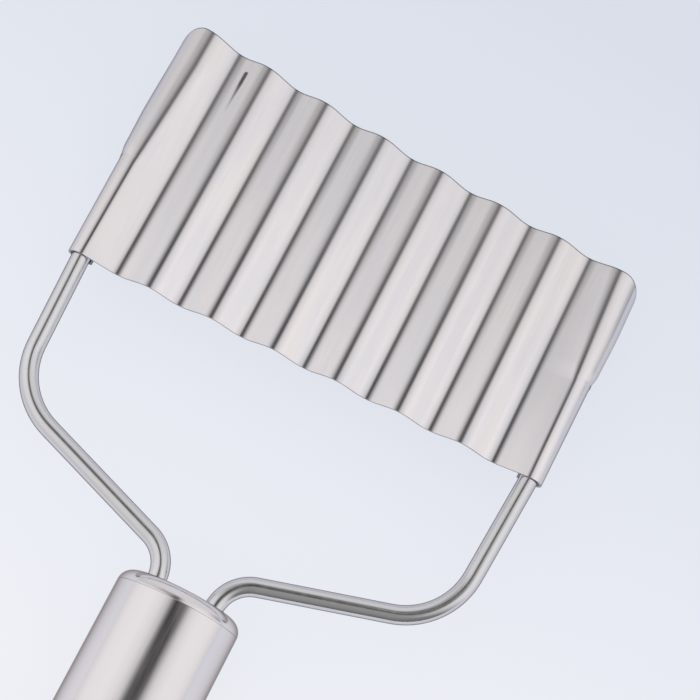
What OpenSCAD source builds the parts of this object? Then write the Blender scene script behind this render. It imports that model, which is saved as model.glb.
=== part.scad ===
// Crinkle soap cutter: a corrugated steel blade whose sides are rolled round two bent wire arms,
// carried by a tubular steel handle with a hanging loop. Millimetres. The handle lies along Y with
// its middle at the origin, the blade points along +Y, and the blade's face looks along +Z.

/* [Blade] */
// Distance from one ridge of the corrugation to the next
wave_pitch = 12.5; // [9:0.5:16]
// Number of whole waves between the two outermost ridges
wave_count = 7; // [3:1:9]
// Height of the corrugation from valley to ridge, before its bends are rounded
wave_h = 3.4; // [1.2:0.1:5]
// Radius of each bend of the corrugation, at the middle of the sheet
bend_r = 4.5; // [1:0.1:6]
// Thickness of the steel sheet
sheet_t = 0.5; // [0.3:0.05:0.8]
// Height of the blade on its centre line, from the back edge to the cutting edge
blade_h = 45.3; // [42:0.1:60]
// Slant of the cutting edge, in degrees, higher on the left side
edge_slant = 4.4; // [0:0.1:5]
// How much farther the cutting edge stands out at the outermost ridges than in the middle
edge_bow = 1; // [0:0.05:2]
// Radius of the two corners beside the cutting edge
corner_r = 3.5; // [2.5:0.5:6]
// Width of the ground bevel on the underside of the cutting edge
bevel_w = 0.9; // [0.4:0.1:1.5]
// Thickness that the bevel leaves at the cutting edge
edge_t = 0.14; // [0.1:0.02:0.24]

/* [Hems and flanges] */
// Length of each side that is rolled round its arm, from the back edge
hem_l = 19.6; // [12:0.2:24]
// Angle that the sheet turns round the arm, in degrees
hem_turn = 250; // [200:5:270]
// Distance from the outermost ridge line out to the arm's centre line in the hem
hem_out = 1.15; // [0.5:0.05:3]
// How much wider than a close fit the hem's radius is
hem_slack = 0.3; // [0:0.05:0.8]
// How much farther the hem's side stands out at its upper end
hem_growth = 0.4; // [0:0.05:0.5]
// Distance from the outermost ridge line out to the crest of the open flange
flange_crest = 0.25; // [0:0.05:0.5]
// Distance from the outermost ridge line out to the flange's side, at the middle of the sheet
flange_out = 4.5; // [3.8:0.1:5.5]
// Angle that the sheet turns in the open flange, in degrees
flange_turn = 90; // [70:2:100]
// Length over which the rolled hem opens into the flange
flare_l = 13; // [8:0.5:14]

/* [Arms] */
// Diameter of the wire of the two arms
arm_d = 3.5; // [2.5:0.1:4]
// Outward lean of the arms' legs between the handle and the hems, in degrees
arm_lean = 3.5; // [0:0.1:5]
// How much more the right arm's leg leans than that, and the left arm's less, in degrees
lean_skew = 0.7; // [0:0.1:1.5]
// Length of wire held inside each hem
arm_grip = 18.6; // [8:0.2:20.6]
// Distance from the blade's back edge to the corner where leg and cross run would meet
leg_l = 28.6; // [18:0.1:40]
// Slope of the arms' cross runs, in degrees
run_slope = 17.6; // [8:0.1:30]
// How much flatter the right arm's cross run is than that, and the left arm's steeper, in degrees
slope_skew = 1.8; // [0:0.1:3]
// Radius of the slight bend where each arm enters its hem, at the wire's centre line
entry_bend_r = 30; // [15:1:60]
// Radius of the outer bend of each arm, at the wire's centre line
outer_bend_r = 14; // [6:0.5:18]
// Radius of the inner bend of each arm, at the wire's centre line
inner_bend_r = 7; // [5:0.5:10]
// Straight wire between the inner bend and the handle's front face
arm_neck = 0.3; // [0.1:0.1:3]

/* [Handle] */
// Outer diameter of the handle
handle_d = 23; // [22:0.5:28]
// Length of the handle over the faces of its two caps
handle_l = 110; // [90:1:130]
// Wall thickness of the handle's tube
tube_wall = 0.8; // [0.6:0.1:1.5]
// Sheet thickness of the two caps
cap_t = 1; // [0.6:0.1:1.4]
// Radius of the rounded edge of each cap
cap_edge_r = 2.5; // [2:0.1:3.5]
// Length of the caps' skirts inside the tube
skirt_l = 6; // [4:0.5:9]

/* [Anchor] */
// Thickness of the disc that steadies the arms' ends inside the tube
disc_t = 1.5; // [1:0.1:3]
// Distance from the handle's front face to the front of the disc
disc_depth = 25; // [16:1:34]
// Length of the arms' ends behind the disc
arm_tail = 3; // [2.5:0.5:6]

/* [Hanging loop] */
// Diameter of the loop's wire
loop_d = 2.5; // [2:0.1:3]
// Distance that the loop stands out behind the handle's rear face
loop_out = 15; // [12:0.5:24]
// Length of the loop's legs inside the rear cap
loop_in = 7; // [4:0.5:12]

/* [Fits and welds] */
// Radial clearance of a wire in its hem, its holes and its weld beads
wire_fit = 0.05; // [0.03:0.01:0.1]
// Radial clearance of the caps and the disc in the tube
tube_fit = 0.05; // [0.02:0.01:0.1]
// Leg length of the weld beads round the wires
weld_leg = 0.75; // [0.5:0.05:1.2]
// Flat width left between each weld bead and the rounded edge of its cap
weld_room = 0.05; // [0.02:0.01:1]

/* [Hidden] */
$fn = 64;
// Steps round each bend of the corrugation and round each hem
BEND_STEPS = 4;
HEM_STEPS = 14;
// Most of each face's run that a bend at its end takes up
MOST_BEND = 0.48;
// How many times sooner than the flare the hem's flap ends, and the small step in the side's outline
FLAP_SHARPNESS = 9;
STEP_SHARPNESS = 3.6;
// Rows of the blade's mesh across the flare, closer at its start, and from there to the bevel
FLARE_ROWS = 8;
UPPER_ROWS = 3;
// Extra thickness of a wire in its bends, and how far its straight runs reach into them
BEND_SWELL = 0.02;
BEND_LAP = 0.1;
// Overrun of a cut past the face that it leaves
CUT = 1;

// Handle and caps, and how far out the wires may reach that are welded in the caps
bore_r = handle_d / 2 - tube_wall;
seam_y = handle_l / 2 - cap_edge_r;
skirt_r = bore_r - tube_fit;
cap_flat_r = skirt_r - cap_edge_r;
weld_r = cap_flat_r - weld_room - weld_leg - wire_fit;
front_y = handle_l / 2;
disc_y = front_y - disc_depth;
arm_end_y = disc_y - disc_t - arm_tail;

// Arms, from the handle out to the blade. Side 1 is the right arm and side -1 the left one. Side 0 is
// midway between their shapes, and sets the blade's place, so both legs reach the blade.
root_x = weld_r - arm_d / 2;
half_w = wave_count * wave_pitch / 2;
arm_x = half_w + hem_out;
function lean(side) = arm_lean + side * lean_skew;
function slope(side) = run_slope - side * slope_skew;
function root_corner_y(side) = front_y + arm_neck + inner_bend_r * tan((90 - slope(side)) / 2);
back_y = root_corner_y(0) + (arm_x - leg_l * tan(arm_lean) - root_x) * tan(run_slope) + leg_l;
function leg(side) =
    (back_y - root_corner_y(side) - (arm_x - root_x) * tan(slope(side)))
    / (1 - tan(lean(side)) * tan(slope(side)));

// Hanging loop
loop_r = weld_r - loop_d / 2;

// Corrugation: slope of its flat faces, radius of its bends, and heights of its corners before they
// are rounded. Its ridges lie level with the crests of the hems, which rest on the arms.
face_slope = atan(2 * wave_h / wave_pitch);
wave_r = min(bend_r, MOST_BEND * wave_pitch / 2 / sin(face_slope));
crest_z = arm_d / 2 + wire_fit + sheet_t / 2;
corner_cut = wave_r * (1 / cos(face_slope) - 1);
wave_depth = wave_h - 2 * corner_cut;
ridge_z = crest_z + corner_cut;
valley_z = ridge_z - wave_h;

// Smooth step from 0 to 1
function ease(u) = let (v = min(max(u, 0), 1)) v * v * (3 - 2 * v);
function mix(a, b, u) = a + (b - a) * u;

// A point of the sheet's middle, with the slope of the sheet there: [x, z, slope]
function on_arc(cx, cz, r, slope) = [cx - r * sin(slope), cz + r * cos(slope), slope];

// Bends of the corrugation, numbered from the centre line in half pitches
function is_ridge(k) = (abs(k) - wave_count) % 2 == 0;
function bend(k, from, to) =
    let (
        side = is_ridge(k) ? 1 : -1,
        cz = (is_ridge(k) ? ridge_z : valley_z) - side * wave_r / cos(face_slope)
    )
    [for (j = [0 : BEND_STEPS])
        on_arc(k * wave_pitch / 2, cz, side * wave_r, mix(from, to, j / BEND_STEPS))];

// At height h above the back edge: how far the hem has opened into the flange, the outline of the
// side and the line of its crest, both at the middle of the sheet, and the angle that it turns
function opened(h) = ease((h - hem_l) / flare_l);
function side_x(h) = mix(
    arm_x + crest_z + hem_slack + hem_growth * min(h / hem_l, 1),
    half_w + flange_out,
    ease(STEP_SHARPNESS * (h - hem_l) / flare_l)
);
function crest_x(h) = mix(arm_x, half_w + flange_crest, opened(h));
function curl_turn(h) = mix(hem_turn, flange_turn, ease(FLAP_SHARPNESS * (h - hem_l) / flare_l));
// Distance from the last valley bend out to the crest, and the radius of the curled edge. The radius
// is limited so that a flat face always fits between the two.
function crest_run(h) = crest_x(h) - (wave_count - 1) * wave_pitch / 2;
function most_curl_r(h) = (pow(crest_run(h), 2) + wave_depth * wave_depth) / (2 * wave_depth) - wave_r;
function curl_r(h) =
    min((side_x(h) - crest_x(h)) / sin(min(curl_turn(h) - face_slope, 90)), 0.98 * most_curl_r(h));
// Slope of the last flat face, which lies against the last valley bend and the curled edge
function last_slope(h) =
    let (
        r = curl_r(h),
        dx = crest_run(h),
        dz = crest_z - r - valley_z - wave_r / cos(face_slope)
    )
    atan2(dz, dx) + asin((wave_r + r) / norm([dx, dz]));
function curled_edge(h) =
    let (r = curl_r(h), start = last_slope(h))
    [for (j = [0 : HEM_STEPS])
        on_arc(crest_x(h), crest_z - r, r, start - curl_turn(h) * j / HEM_STEPS)];

// Right half of the sheet's section from the first bend beyond the centre, then the whole section
function half_section(h) = [
    for (k = [1 : wave_count - 1])
        let (s = is_ridge(k) ? 1 : -1)
        each bend(k, s * face_slope, k < wave_count - 1 ? -s * face_slope : last_slope(h)),
    each curled_edge(h)
];
function mirrored(points) = [
    for (i = [len(points) - 1 : -1 : 0]) [-points[i][0], points[i][1], -points[i][2]]
];
centre_side = is_ridge(0) ? 1 : -1;
function section(h) = concat(
    mirrored(half_section(h)),
    bend(0, centre_side * face_slope, -centre_side * face_slope),
    half_section(h)
);

// Top of the sheet above the back edge: the slanted and slightly bowed edge with its rounded corners
flange_section = section(hem_l + flare_l);
flange_x = flange_section[len(flange_section) - 1][0];
function corner_drop(x) =
    let (over = max(abs(x) - (flange_x - corner_r), 0))
    corner_r - sqrt(max(corner_r * corner_r - over * over, 0));
function top_h(x) = blade_h - x * tan(edge_slant) + edge_bow * pow(x / half_w, 2) - corner_drop(x);

// Rows of one column of the mesh, from the back edge to the cutting edge: [height, place of the upper
// face and of the lower face from the middle of the sheet]
function column_rows(i) =
    let (
        top = top_h(flange_section[i][0]),
        flare_top = min(hem_l + flare_l, top - bevel_w - CUT)
    )
    [
        [0, half_t, -half_t],
        [hem_l, half_t, -half_t],
        for (j = [1 : FLARE_ROWS]) [mix(hem_l, flare_top, pow(j / FLARE_ROWS, 2)), half_t, -half_t],
        for (j = [1 : UPPER_ROWS]) [mix(flare_top, top - bevel_w, j / UPPER_ROWS), half_t, -half_t],
        [top, half_t, half_t - edge_t]
    ];
half_t = sheet_t / 2;
COLUMNS = len(flange_section);
ROWS = 3 + FLARE_ROWS + UPPER_ROWS;

// A point of the sheet's face: side 1 is the upper face, side -1 the lower one
function face_point(i, row, side) =
    let (p = section(row[0])[i], off = side > 0 ? row[1] : row[2])
    [p[0] - off * sin(p[2]), back_y + row[0], p[1] + off * cos(p[2])];

module blade() {
    points = [
        for (side = [1, -1])
            for (i = [0 : COLUMNS - 1])
                let (rows = column_rows(i))
                for (j = [0 : ROWS - 1]) face_point(i, rows[j], side)
    ];
    // Index of the point in column i and row j on the upper (0) or lower (1) face
    function at(s, i, j) = (s * COLUMNS + i) * ROWS + j;
    function quad(a, b, c, d) = [[a, b, c], [a, c, d]];
    faces = [
        for (i = [0 : COLUMNS - 2])
            for (j = [0 : ROWS - 2]) each concat(
                quad(at(0, i, j), at(0, i, j + 1), at(0, i + 1, j + 1), at(0, i + 1, j)),
                quad(at(1, i, j), at(1, i + 1, j), at(1, i + 1, j + 1), at(1, i, j + 1))
            ),
        for (i = [0 : COLUMNS - 2]) each concat(
            quad(at(0, i, 0), at(0, i + 1, 0), at(1, i + 1, 0), at(1, i, 0)),
            quad(at(0, i, ROWS - 1), at(1, i, ROWS - 1), at(1, i + 1, ROWS - 1), at(0, i + 1, ROWS - 1))
        ),
        for (j = [0 : ROWS - 2]) each concat(
            quad(at(0, 0, j), at(1, 0, j), at(1, 0, j + 1), at(0, 0, j + 1)),
            quad(at(0, COLUMNS - 1, j), at(0, COLUMNS - 1, j + 1),
                 at(1, COLUMNS - 1, j + 1), at(1, COLUMNS - 1, j))
        )
    ];
    color("lightgray") polyhedron(points, faces);
}

// A wire of diameter d along points in the XY plane, with the given radius at each inner point.
// Its bends are a hair thicker than its straight runs, which end inside them.
function heading(a, b) = atan2(b[1] - a[1], b[0] - a[0]);
function turn_at(p, i) =
    let (t = heading(p[i], p[i + 1]) - heading(p[i - 1], p[i]))
    t > 180 ? t - 360 : t < -180 ? t + 360 : t;
function setback(p, radii, i) = radii[i - 1] * tan(abs(turn_at(p, i)) / 2);
module bent_wire(p, radii, d) {
    last = len(p) - 1;
    for (i = [0 : last - 1]) {
        dir = heading(p[i], p[i + 1]);
        start = i == 0 ? 0 : setback(p, radii, i) - BEND_LAP;
        end = i == last - 1 ? 0 : setback(p, radii, i + 1) - BEND_LAP;
        translate([p[i][0] + start * cos(dir), p[i][1] + start * sin(dir), 0])
            rotate([0, 0, dir])
                rotate([0, 90, 0])
                    cylinder(h = norm(p[i + 1] - p[i]) - start - end, d = d);
    }
    for (i = [1 : last - 1]) {
        r = radii[i - 1];
        dir = heading(p[i - 1], p[i]);
        turn = turn_at(p, i);
        hand = sign(turn);
        ahead = [cos(dir), sin(dir)];
        centre = p[i] - setback(p, radii, i) * ahead + hand * r * [-ahead[1], ahead[0]];
        translate([centre[0], centre[1], 0])
            rotate([0, 0, dir - hand * 90 + min(turn, 0)])
                rotate_extrude(angle = abs(turn))
                    translate([r, 0])
                        circle(d = d + BEND_SWELL);
    }
}

// The arm of a side, drawn on the right
module arm(side) {
    path = [
        [arm_x, back_y + arm_grip],
        [arm_x, back_y],
        [arm_x - leg(side) * tan(lean(side)), back_y - leg(side)],
        [root_x, root_corner_y(side)],
        [root_x, arm_end_y]
    ];
    bent_wire(path, [entry_bend_r, outer_bend_r, inner_bend_r], arm_d);
}
module right_arm() {
    color("silver") arm(1);
}
module left_arm() {
    color("silver") mirror([1, 0, 0]) arm(-1);
}

// Places its children with their Z axis along +Y, at height y
module along_y(y) {
    translate([0, y, 0]) rotate([-90, 0, 0]) children();
}

// Half profile of a disc of radius r whose upper edge is rounded over its whole height
module rounded_disc_profile(r, edge_r) {
    square([r - edge_r, edge_r]);
    translate([r - edge_r, 0]) intersection() {
        circle(r = edge_r);
        square(edge_r);
    }
}

// A drawn cap: rounded edge flush with the tube, skirt inside it, and a hole at x and one at -x
module cap(x, hole_d) {
    inner_r = skirt_r - cap_t;
    difference() {
        rotate_extrude() difference() {
            union() {
                rounded_disc_profile(handle_d / 2, cap_edge_r);
                translate([0, -skirt_l]) square([skirt_r, skirt_l]);
            }
            union() {
                rounded_disc_profile(inner_r, cap_edge_r - cap_t);
                translate([0, -skirt_l - CUT]) square([inner_r, skirt_l + CUT]);
            }
        }
        for (s = [-1, 1])
            translate([s * x, 0, 0]) cylinder(h = cap_edge_r + CUT, d = hole_d);
    }
}
module front_cap() {
    color("gainsboro") along_y(seam_y) cap(root_x, arm_d + 2 * wire_fit);
}
module rear_cap() {
    color("gainsboro") mirror([0, 1, 0]) along_y(seam_y) cap(loop_r, loop_d + 2 * wire_fit);
}

module handle_tube() {
    color("gainsboro") along_y(-seam_y) difference() {
        cylinder(h = 2 * seam_y, d = handle_d);
        translate([0, 0, -CUT]) cylinder(h = 2 * seam_y + 2 * CUT, r = bore_r);
    }
}

// Disc inside the tube that both arms pass through
module anchor_disc() {
    color("darkgray") along_y(disc_y - disc_t) difference() {
        cylinder(h = disc_t, r = bore_r - tube_fit);
        for (s = [-1, 1])
            translate([s * root_x, 0, -CUT]) cylinder(h = disc_t + 2 * CUT, d = arm_d + 2 * wire_fit);
    }
}

// A fillet bead round each of two wires at x and -x, standing on a face at y and tapering to -Y
module bead_pair(x, wire_d, y) {
    inner = wire_d / 2 + wire_fit;
    for (s = [-1, 1])
        translate([s * x, 0, 0]) mirror([0, 1, 0]) along_y(-y) rotate_extrude()
            polygon([[inner, 0], [inner + weld_leg, 0], [inner, weld_leg]]);
}
module arm_welds() {
    color("slategray") {
        bead_pair(root_x, arm_d, front_y - cap_t);
        bead_pair(root_x, arm_d, disc_y - disc_t);
    }
}
module loop_welds() {
    color("slategray") mirror([0, 1, 0]) bead_pair(loop_r, loop_d, front_y - cap_t);
}

// U-shaped loop: two legs through the rear cap, joined by half a turn
module hanging_loop() {
    leg = loop_in + loop_out - loop_r - loop_d / 2;
    color("silver") {
        for (s = [-1, 1])
            translate([s * loop_r, 0, 0]) along_y(loop_in - front_y - leg) cylinder(h = leg, d = loop_d);
        translate([0, loop_in - front_y - leg, 0])
            rotate([0, 0, 180])
                rotate_extrude(angle = 180)
                    translate([loop_r, 0])
                        circle(d = loop_d);
    }
}

blade();
left_arm();
right_arm();
front_cap();
anchor_disc();
arm_welds();
handle_tube();
rear_cap();
hanging_loop();
loop_welds();
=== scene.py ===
"""Crinkle soap cutter: a corrugated stainless blade rolled on to two bent wire arms, with a tubular
steel handle and a hanging loop, on a pale studio floor. Metres, in the frame of the packed part:
the handle lies along Y, the blade points along +Y, and its face looks along +Z."""

import math

import bmesh
import bpy
import numpy as np
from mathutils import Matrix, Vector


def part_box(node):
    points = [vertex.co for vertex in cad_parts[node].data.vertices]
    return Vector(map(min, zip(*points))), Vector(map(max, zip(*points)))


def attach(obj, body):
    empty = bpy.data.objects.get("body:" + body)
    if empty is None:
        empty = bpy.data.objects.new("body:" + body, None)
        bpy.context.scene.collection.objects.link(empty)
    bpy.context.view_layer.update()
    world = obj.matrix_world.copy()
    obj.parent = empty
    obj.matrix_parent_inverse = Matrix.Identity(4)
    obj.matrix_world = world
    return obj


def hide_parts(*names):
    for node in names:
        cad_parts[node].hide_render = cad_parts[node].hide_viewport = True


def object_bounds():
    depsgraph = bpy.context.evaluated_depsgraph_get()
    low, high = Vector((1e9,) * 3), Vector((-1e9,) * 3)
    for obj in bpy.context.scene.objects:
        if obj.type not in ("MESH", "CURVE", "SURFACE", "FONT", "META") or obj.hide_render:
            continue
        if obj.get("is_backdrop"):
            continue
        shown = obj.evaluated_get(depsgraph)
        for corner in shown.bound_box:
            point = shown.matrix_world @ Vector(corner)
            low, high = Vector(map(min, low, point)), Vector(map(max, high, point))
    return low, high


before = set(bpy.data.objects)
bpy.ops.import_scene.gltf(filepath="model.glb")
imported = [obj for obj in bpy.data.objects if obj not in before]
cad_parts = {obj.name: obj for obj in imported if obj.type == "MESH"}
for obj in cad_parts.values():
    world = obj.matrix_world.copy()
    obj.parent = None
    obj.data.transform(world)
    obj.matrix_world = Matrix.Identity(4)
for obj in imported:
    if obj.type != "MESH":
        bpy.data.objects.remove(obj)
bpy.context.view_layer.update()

bl_info = {
    "name": "Crinkle Soap Cutter",
    "version": (1, 0, 0),
    "blender": (4, 5, 0),
    "location": "3D View > Sidebar > Soap Cutter",
    "description": "Builds a crinkle soap cutter and the studio that it lies in",
    "category": "Add Mesh",
}

MM = 0.001
BODY = "root"


# Sizes and colours


def length(name, description, default_mm):
    """A length in metres, given in millimetres."""
    return bpy.props.FloatProperty(
        name=name, description=description, default=default_mm * MM,
        min=0, precision=5, subtype="DISTANCE", unit="LENGTH",
    )


def angle(name, description, default_deg):
    """An angle in radians, given in degrees."""
    return bpy.props.FloatProperty(
        name=name, description=description, default=math.radians(default_deg),
        subtype="ANGLE", unit="ROTATION",
    )


def linear(hex_colour):
    """Linear RGB of an sRGB hex colour such as #C0C0C0."""
    parts = [int(hex_colour[i:i + 2], 16) / 255 for i in (1, 3, 5)]
    return [c / 12.92 if c <= 0.04045 else ((c + 0.055) / 1.055) ** 2.4 for c in parts]


def colour(name, description, default_hex):
    """A colour, given as sRGB hex."""
    return bpy.props.FloatVectorProperty(
        name=name, description=description, default=linear(default_hex),
        min=0, max=1, size=3, subtype="COLOR",
    )


class CutterBladeSizes(bpy.types.PropertyGroup):
    """Sizes of the corrugated blade."""

    pitch: length("Wave pitch", "Distance from one ridge to the next", 12.5)
    waves: bpy.props.IntProperty(
        name="Waves", description="Whole waves between the two outermost ridges", default=7, min=1)
    wave_height: length("Wave height", "From valley to ridge, before the bends are rounded", 3.4)
    bend_radius: length("Bend radius", "Radius of each ridge and valley, at mid sheet", 4.5)
    thickness: length("Sheet thickness", "Thickness of the steel sheet", 0.5)
    height: length("Blade height", "From the back edge to the cutting edge, on the centre line", 45.3)
    slant: angle("Edge slant", "Slant of the cutting edge, higher on the left", 4.4)
    bow: length("Edge bow", "How much farther the edge stands out at the outermost ridges", 1.0)
    corner: length("Corner radius", "Radius of the corners beside the cutting edge", 3.5)
    bevel: length("Bevel width", "Width of the bevel ground on the underside of the edge", 0.9)
    edge: length("Edge thickness", "Thickness left at the cutting edge", 0.14)
    hem: length("Hem length", "Length of side that is rolled round each arm", 19.6)
    hem_turn: angle("Hem turn", "Angle that the sheet turns round the arm", 250)
    hem_out: length("Hem offset", "From the outermost ridge line out to the arm's centre line", 1.15)
    hem_slack: length("Hem slack", "How much wider than a close fit the hem's radius is", 0.3)
    hem_growth: length("Hem growth", "How much farther the hem's side stands out at its end", 0.4)
    flange_crest: length("Flange crest", "From the outermost ridge line out to the flange's crest", 0.25)
    flange_out: length("Flange reach", "From the outermost ridge line out to the flange's side", 4.5)
    flange_turn: angle("Flange turn", "Angle that the sheet turns in the open flange", 90)
    flare: length("Flare length", "Length over which the hem opens into the flange", 13.0)
    wire_fit: length("Wire fit", "Clearance between the arm and its hem", 0.05)


class CutterWireSizes(bpy.types.PropertyGroup):
    """Sizes of the two arms and the hanging loop."""

    arm: length("Arm wire", "Diameter of the arms' wire", 3.5)
    lean: angle("Arm lean", "Outward lean of the arms' legs below the hems", 3.5)
    lean_skew: angle("Lean skew", "How much more the right leg leans, and the left one less", 0.7)
    grip: length("Grip", "Length of wire held inside each hem", 18.6)
    slope: angle("Run slope", "Slope of the arms' cross runs", 17.6)
    slope_skew: angle("Slope skew", "How much flatter the right run is, and the left one steeper", 1.8)
    entry_bend: length("Entry bend", "Radius of the slight bend where each arm enters its hem", 30.0)
    outer_bend: length("Outer bend", "Radius of the outer bend, at the wire's centre line", 14.0)
    inner_bend: length("Inner bend", "Radius of the inner bend, at the wire's centre line", 7.0)
    root: length("Root offset", "From the handle's axis to each arm where it enters the cap", 5.55)
    neck: length("Neck", "Straight wire between the inner bend and the cap", 0.3)
    loop: length("Loop wire", "Diameter of the hanging loop's wire", 2.5)
    loop_radius: length("Loop radius", "Radius of the loop, at the wire's centre line", 6.05)
    loop_out: length("Loop reach", "How far the loop stands out behind the rear cap", 15.0)
    loop_in: length("Loop legs", "Length of the loop's legs inside the rear cap", 7.0)


class CutterHandleSizes(bpy.types.PropertyGroup):
    """Sizes of the handle's tube and of its two caps."""

    diameter: length("Handle diameter", "Outer diameter of the tube", 23.0)
    length: length("Handle length", "Length over the faces of both caps", 110.0)
    wall: length("Tube wall", "Wall thickness of the tube", 0.8)
    cap_sheet: length("Cap sheet", "Sheet thickness of the caps", 1.0)
    cap_edge: length("Cap edge", "Radius of the caps' rounded edge", 2.5)
    skirt: length("Cap skirt", "Length of the caps' skirts inside the tube", 6.0)
    fit: length("Cap fit", "Clearance of the caps in the tube and of the wires in their holes", 0.05)
    groove: length("Seam groove", "Edge break on both sides of the seam between tube and cap", 0.06)


class CutterFinish(bpy.types.PropertyGroup):
    """Colours of the steel and of the studio."""

    sheet: colour("Sheet steel", "Rolled stainless sheet", "#E9E3E4")
    sheet_cool: colour("Sheet steel, cool", "Cooler patches of the rolled sheet", "#E3E0E4")
    sheet_edge: colour("Sheet steel, edge on", "Rolled sheet seen at a grazing angle", "#A09E9E")
    # Colour of the thin dark line along the cutting edge
    ground: colour("Dark edge line", "Fine line that grinding leaves along the cutting edge", "#62646C")
    sheared: colour("Sheared edge", "Dull cut edge of the sheet", "#A3A2A8")
    wire: colour("Wire steel", "Drawn stainless wire", "#DAD8DA")
    wire_edge: colour("Wire steel, edge on", "Drawn wire seen at a grazing angle", "#5C5C64")
    tube: colour("Tube steel", "Satin stainless tube", "#E4DFE1")
    tube_edge: colour("Tube steel, edge on", "Satin tube seen at a grazing angle", "#A8A29E")
    inner: colour("Inner steel", "Plain steel inside the handle", "#A3A2A4")
    weld: colour("Weld metal", "Weld beads", "#8C8B90")
    stain: colour("Stain", "Small brown mark on the sheet", "#5E504E")
    floor_near: colour("Floor, near", "Studio floor near the handle", "#F0F2F8")
    floor_far: colour("Floor, far", "Studio floor beyond the blade", "#DADFEA")


class CutterStudio(bpy.types.PropertyGroup):
    """Camera and light."""

    camera: bpy.props.FloatVectorProperty(
        name="Camera", description="Place of the camera", size=3, subtype="TRANSLATION",
        default=(0.022382, 0.016147, 0.316729), precision=5)
    turn: bpy.props.FloatVectorProperty(
        name="Camera turn", description="Rotation of the camera", size=3, subtype="EULER",
        default=[math.radians(d) for d in (15.7219, -4.6613, 26.2314)], precision=5)
    lens: bpy.props.FloatProperty(
        name="Focal length", description="In millimetres, on a 36 mm wide frame",
        default=94.257, unit="CAMERA")
    light: bpy.props.FloatProperty(
        name="Light level", description="Brightness of the soft studio light", default=1.0, min=0)


GROUPS = {
    "cutter_blade": CutterBladeSizes,
    "cutter_wires": CutterWireSizes,
    "cutter_handle": CutterHandleSizes,
    "cutter_finish": CutterFinish,
    "cutter_studio": CutterStudio,
}


# Nodes and meshes


def add_node(tree, kind, inputs=(), **settings):
    """Adds a node with its settings, and sets or links its inputs, in order or by name or number."""
    node = tree.nodes.new(kind)
    for name, value in settings.items():
        setattr(node, name, value)
    for key, value in (inputs.items() if isinstance(inputs, dict) else enumerate(inputs)):
        if isinstance(value, bpy.types.NodeSocket):
            tree.links.new(value, node.inputs[key])
        else:
            node.inputs[key].default_value = value
    return node


# Kinds of node for the rows of work_out: type and settings
SMOOTH_STEP = ("ShaderNodeMapRange", {"interpolation_type": "SMOOTHSTEP"})
RAMP = ("ShaderNodeMapRange", {})
CHOICE = ("GeometryNodeSwitch", {"input_type": "FLOAT"})

# Sockets of a Mix node for colours: its share, the colour at 0, the colour at 1, and the mixed colour
SHARE, COLOUR_0, COLOUR_1, MIXED = 0, 6, 7, 2


def work_out(tree, values, rows):
    """Adds a node for each row (name, kind, operands...) and keeps its first output by name.
    A kind is a node's type and settings, or a bare word, which is an operation of the Math node."""
    for name, kind, *operands in rows:
        node_type, settings = ("ShaderNodeMath", {"operation": kind}) if isinstance(kind, str) else kind
        inputs = [values[o] if isinstance(o, str) else o for o in operands]
        values[name] = add_node(tree, node_type, inputs, **settings).outputs[0]


def geometry_tree(name, sizes):
    """A Geometry Nodes tree that takes a geometry and the sizes {name: socket kind}, and the sockets
    through which it gets them."""
    tree = bpy.data.node_groups.new(name, "GeometryNodeTree")
    tree.interface.new_socket("Geometry", in_out="INPUT", socket_type="NodeSocketGeometry")
    for label, kind in sizes.items():
        tree.interface.new_socket(label, in_out="INPUT", socket_type="NodeSocket" + kind)
    tree.interface.new_socket("Geometry", in_out="OUTPUT", socket_type="NodeSocketGeometry")
    return tree, add_node(tree, "NodeGroupInput").outputs


def end_tree(tree, geometry, material):
    """Closes a tree with Realize Instances, Set Material and the group's output."""
    real = add_node(tree, "GeometryNodeRealizeInstances", {0: geometry})
    done = add_node(tree, "GeometryNodeSetMaterial", {"Geometry": real.outputs[0], "Material": material})
    add_node(tree, "NodeGroupOutput", {0: done.outputs[0]})


def new_object(name, mesh):
    """Links a new object that holds the mesh."""
    made = bpy.data.objects.new(name, mesh)
    bpy.context.scene.collection.objects.link(made)
    return made


def apply_modifiers(made):
    """Gives the object a plain mesh, as its modifiers make it, and takes them away."""
    depsgraph = bpy.context.evaluated_depsgraph_get()
    result = bpy.data.meshes.new_from_object(made.evaluated_get(depsgraph))
    made.modifiers.clear()
    made.data = result


def grow(name, mesh, tree, values):
    """Runs a tree on a mesh with the given input values, and keeps the result as a plain mesh."""
    made = new_object(name, mesh)
    modifier = made.modifiers.new(tree.name, "NODES")
    modifier.node_group = tree
    for item in tree.interface.items_tree:
        if item.in_out == "INPUT" and item.name in values:
            modifier[item.identifier] = values[item.name]
    apply_modifiers(made)
    return made


def finish_piece(made, material_slot, *nodes, sharp_from=35):
    """Smooth shading with crisp corners from sharp_from degrees, and the piece's place in the frame."""
    made.data.name = made.name
    made.data.shade_smooth()
    made.data.set_sharp_from_angle(angle=math.radians(sharp_from))
    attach(made, BODY)
    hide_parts(*nodes)


# Blade

# Columns of the blade's mesh in each half bend, each flat face, and each curled side
ARC_STEPS = 8
FLAT_STEPS = 3
CURL_STEPS = 48
HALF_PITCH_STEPS = 2 * ARC_STEPS + FLAT_STEPS
# Rows of the blade's mesh up the hem, the flare, the open blade and the bevel
ROWS = {"hem": 6, "flare": 36, "upper": 10, "bevel": 2}
# How many times sooner than the flare the hem's flap ends, and the small step in the side's outline
FLAP_SHARPNESS = 9
STEP_SHARPNESS = 3.6
# How many times the flare's length the crest line takes to move in from the arm to the flange
CREST_LENGTH = 1.72
# Most of each face's run that a bend at its end takes up
MOST_BEND = 0.48
# How much the curled edge takes of the radius at which no flat face would be left beside it
MOST_CURL = 0.98
# Least height of plain blade between the flare and the bevel
LEAST_UPPER = 1 * MM

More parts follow.
